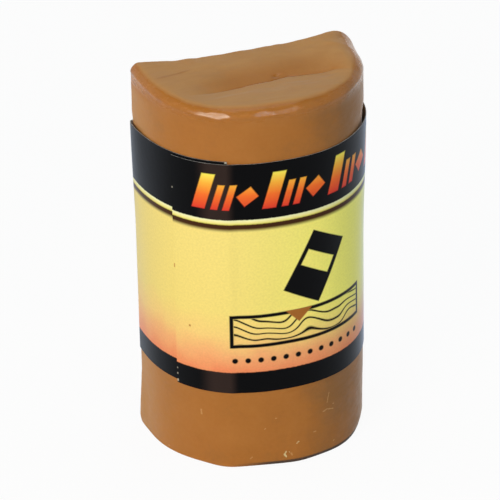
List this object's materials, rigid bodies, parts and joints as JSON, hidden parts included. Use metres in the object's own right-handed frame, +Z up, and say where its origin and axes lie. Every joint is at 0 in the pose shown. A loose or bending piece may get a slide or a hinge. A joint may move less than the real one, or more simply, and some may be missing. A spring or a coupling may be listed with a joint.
{
  "type": "wax repair stick",
  "caption": "Half-round bar of soft tan wax standing on end in a loose printed paper sleeve with a glued overlap, for filling scratches and dents in wood.",
  "frame": {"origin": "middle of the outline's box, on the base that the bar stands on", "axes": "+Z up along the bar, -Y towards its round side, +X to the right seen from the round side"},
  "size_m": [0.029, 0.0164, 0.0506],
  "materials": {
    "wax": "satin",
    "printed_paper": "gloss coated",
    "glue": "tacky"
  },
  "bodies": {
    "bar": {"wax_stick": "wax"},
    "sleeve": {"label_wrap": "printed_paper", "overlap_glue": "glue"},
    "sleeve_end": {"label_tail": "printed_paper"}
  },
  "joints": [
    {"name": "sleeve_slide", "type": "slide", "parent": "bar", "child": "sleeve", "axis": [0, 0, 1], "range_m": [-0.003, 0.008]},
    {"name": "end_peel", "type": "hinge", "parent": "sleeve", "child": "sleeve_end", "pos_m": [-0.00678, -0.00638, 0.02665], "axis": [0, 0, 1], "range_deg": [0, 70]}
  ]
}
